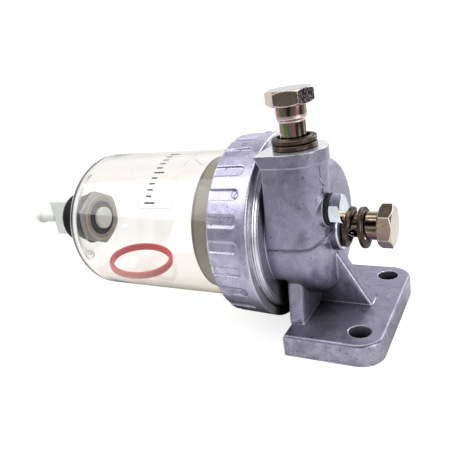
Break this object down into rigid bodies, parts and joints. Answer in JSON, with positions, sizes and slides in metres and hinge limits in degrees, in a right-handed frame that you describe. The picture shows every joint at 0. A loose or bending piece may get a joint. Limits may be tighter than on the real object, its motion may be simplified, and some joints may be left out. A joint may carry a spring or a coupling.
{
  "type": "fuel water separator",
  "caption": "Fuel and water separator with a clear sediment bowl held to a cast head by a fluted clamp ring, with banjo bolt ports, a bleed plug and a wing drain cock.",
  "frame": {"origin": "midway between the two bolt holes, on the foot's mounting face", "axes": "+Z out of the mounting face through the foot, +X along the bowl's axis towards the outlet port"},
  "size_m": [0.2439, 0.0962, 0.1241],
  "materials": {
    "cast_aluminium": "satin die-cast surface with machined bright faces",
    "clear_amber": "clear moulded plastic with a faint amber tint",
    "black_rubber": "plain moulded rubber",
    "olive_nylon": "satin moulded nylon",
    "red_plastic": "smooth red plastic",
    "black_plastic": "satin black moulding",
    "grey_plastic": "dull dark grey moulding",
    "tan_rubber": "plain tan rubber",
    "pale_green_plastic": "milky, slightly translucent nylon",
    "yellow_zinc_steel": "turned steel, yellow passivated zinc with pink and green tints",
    "bonded_washer": "dark brown metal with a black moulded rubber bead",
    "blue_zinc_steel": "bright blue-white zinc plate"
  },
  "bodies": {
    "head": {"head_casting": "cast_aluminium", "baffle": "olive_nylon", "inlet_washer_lower": "bonded_washer", "inlet_washer_upper": "bonded_washer"},
    "bowl": {"bowl": "clear_amber", "bowl_gasket": "black_rubber", "float_ring": "red_plastic", "drain_gasket": "black_rubber", "drain_body": "black_plastic", "drain_nut": "grey_plastic", "drain_nut_seal": "tan_rubber"},
    "clamp_ring": {"clamp_ring": "cast_aluminium"},
    "drain_seal": {"drain_o_ring": "black_rubber"},
    "drain_cock": {"drain_cock": "pale_green_plastic"},
    "inlet_bolt": {"inlet_bolt": "yellow_zinc_steel"},
    "outlet_washers": {"outlet_washer_inner": "bonded_washer", "outlet_washer_outer": "bonded_washer"},
    "outlet_bolt": {"outlet_bolt": "yellow_zinc_steel"},
    "bleed_seal": {"bleed_seal": "black_rubber"},
    "bleed_plug": {"bleed_plug": "blue_zinc_steel"}
  },
  "joints": [
    {"name": "bowl_travel", "type": "slide", "parent": "head", "child": "bowl", "axis": [-1, 0, 0], "range_m": [0, 0.0081]},
    {"name": "ring_turn", "type": "hinge", "parent": "bowl", "child": "clamp_ring", "pos_m": [-0.054, 0, 0.0528], "axis": [-1, 0, 0], "range_deg": [0, 1440]},
    {"name": "cock_travel", "type": "slide", "parent": "bowl", "child": "drain_seal", "axis": [-1, 0, 0], "range_m": [0, 0.0031]},
    {"name": "cock_turn", "type": "hinge", "parent": "drain_seal", "child": "drain_cock", "pos_m": [-0.2, 0, 0.0528], "axis": [-1, 0, 0], "range_deg": [0, 720]},
    {"name": "inlet_travel", "type": "slide", "parent": "head", "child": "inlet_bolt", "axis": [0, 0, 1], "range_m": [-0.0135, 0.0105]},
    {"name": "outlet_travel", "type": "slide", "parent": "head", "child": "outlet_washers", "axis": [1, 0, 0], "range_m": [0, 0.0106]},
    {"name": "outlet_turn", "type": "hinge", "parent": "outlet_washers", "child": "outlet_bolt", "pos_m": [0, 0, 0.0528], "axis": [1, 0, 0], "range_deg": [0, 2520]},
    {"name": "bleed_travel", "type": "slide", "parent": "head", "child": "bleed_seal", "axis": [1, 0, 0], "range_m": [0, 0.0051]},
    {"name": "bleed_turn", "type": "hinge", "parent": "bleed_seal", "child": "bleed_plug", "pos_m": [-0.01, -0.01956, 0.06835], "axis": [1, 0, 0], "range_deg": [0, 1440]}
  ],
  "couplings": [
    {"joint": "bowl_travel", "follows": "ring_turn", "m_per_rad": 0.00031831},
    {"joint": "cock_travel", "follows": "cock_turn", "m_per_rad": 0.00023873},
    {"joint": "outlet_travel", "follows": "outlet_turn", "m_per_rad": 0.00023873},
    {"joint": "bleed_travel", "follows": "bleed_turn", "m_per_rad": 0.00019894}
  ]
}
